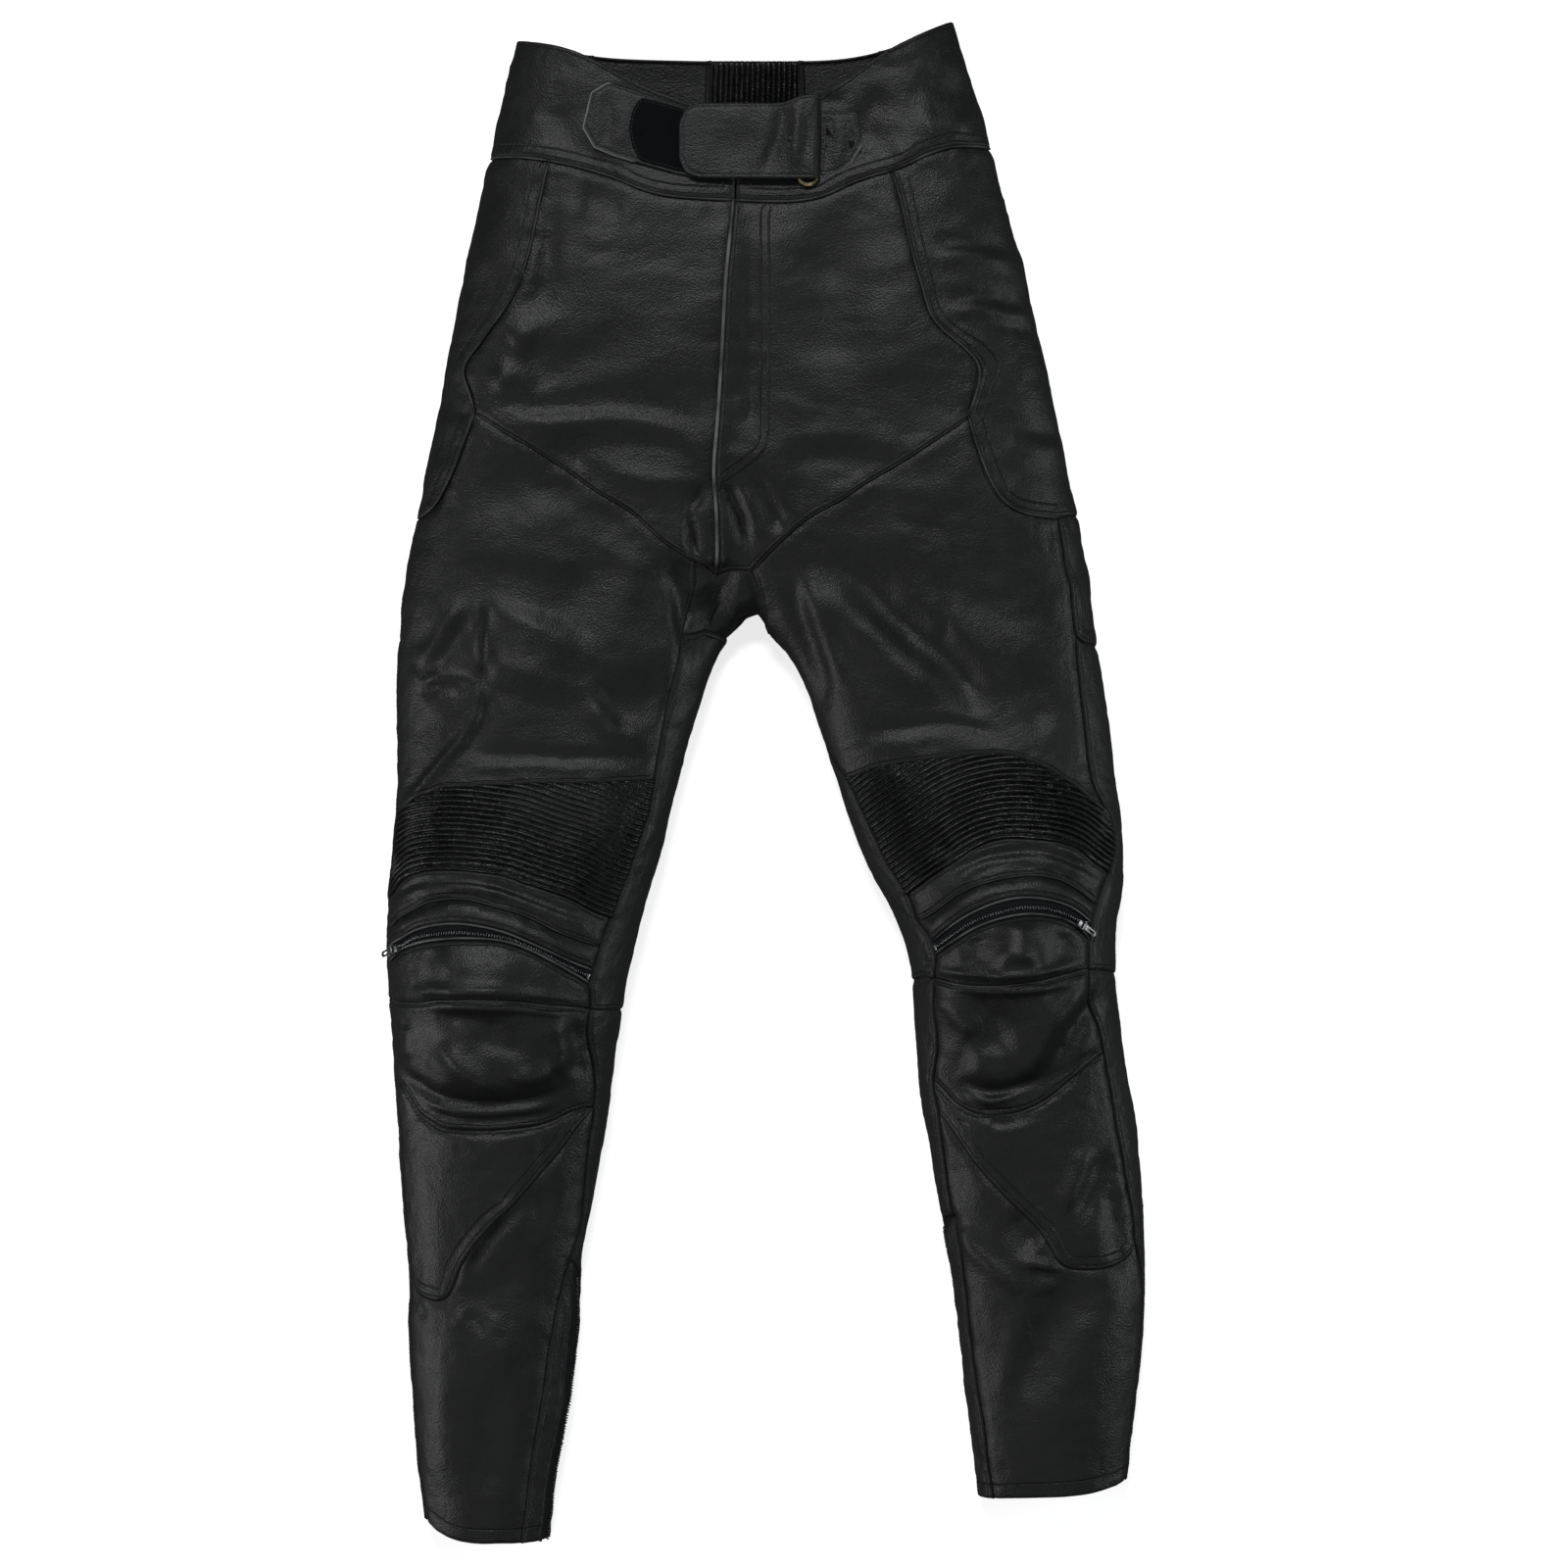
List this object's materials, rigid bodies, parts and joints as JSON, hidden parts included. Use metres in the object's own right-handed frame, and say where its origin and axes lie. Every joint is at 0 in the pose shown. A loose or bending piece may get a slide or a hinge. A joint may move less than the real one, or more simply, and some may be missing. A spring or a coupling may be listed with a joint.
{
  "type": "leather motorcycle trousers",
  "caption": "Leather motorcycle trousers lying flat on their back, with a strap and ring waist, ribbed stretch above cupped knees, diagonal shin panels and zips at knees and ankles.",
  "frame": {"origin": "centre of the garment's outline, on the surface it lies on", "axes": "+X towards the wearer's left, +Y towards the waist, +Z out of the front of the garment, which lies on its back"},
  "size_m": [0.5314, 1.0588, 0.0847],
  "materials": {
    "leather": "semi-gloss grained black cowhide",
    "ribbed_leather": "black leather sewn in narrow stretch ribs",
    "zip_tape": "navy-black woven zip tape",
    "hook_tape": "black hook and loop tape",
    "nickel": "polished nickel plate",
    "brass": "worn pale brass"
  },
  "bodies": {
    "trousers": {"waistband_right": "leather", "waistband_left": "leather", "hip_panel_right": "leather", "hip_panel_left": "leather", "front_panel_right": "leather", "front_panel_left": "leather", "thigh_front_right": "leather", "thigh_front_left": "leather", "knee_ribs_right": "ribbed_leather", "knee_ribs_left": "ribbed_leather", "knee_band_upper_right": "leather", "knee_band_upper_left": "leather", "knee_band_lower_right": "leather", "knee_band_lower_left": "leather", "knee_zip_tape_right": "zip_tape", "knee_zip_tape_left": "zip_tape", "knee_cup_upper_right": "leather", "knee_cup_upper_left": "leather", "knee_cup_lower_right": "leather", "knee_cup_lower_left": "leather", "shin_panel_right": "leather", "shin_panel_left": "leather", "calf_front_right": "leather", "calf_front_left": "leather", "ankle_strip_right": "leather", "ankle_strip_left": "leather", "ankle_zip_tape_right": "zip_tape", "ankle_zip_tape_left": "zip_tape", "back_thigh_right": "leather", "back_thigh_left": "leather", "back_calf_right": "leather", "back_calf_left": "leather", "seat_right": "leather", "seat_left": "leather", "waistband_back_right": "leather", "waistband_back_left": "leather", "knee_zip_slider_right": "nickel", "knee_zip_slider_left": "nickel", "waistband_back_ribs": "ribbed_leather", "gusset": "leather", "strap_base_right": "leather", "strap_base_left": "leather", "hook_patch": "hook_tape", "strap_tab": "leather", "d_ring": "brass"},
    "knee_pull_right": {"knee_zip_pull_right": "nickel"},
    "knee_pull_left": {"knee_zip_pull_left": "nickel"}
  },
  "joints": [
    {"name": "knee_pull_right_hinge", "type": "hinge", "parent": "trousers", "child": "knee_pull_right", "pos_m": [-0.25934, -0.11607, 0.05058], "axis": [-0.1789, 0.9563, -0.2311], "range_deg": [0, 150]},
    {"name": "knee_pull_left_hinge", "type": "hinge", "parent": "trousers", "child": "knee_pull_left", "pos_m": [0.22059, -0.09926, 0.069], "axis": [-0.4503, -0.8392, 0.3049], "range_deg": [0, 150]}
  ]
}
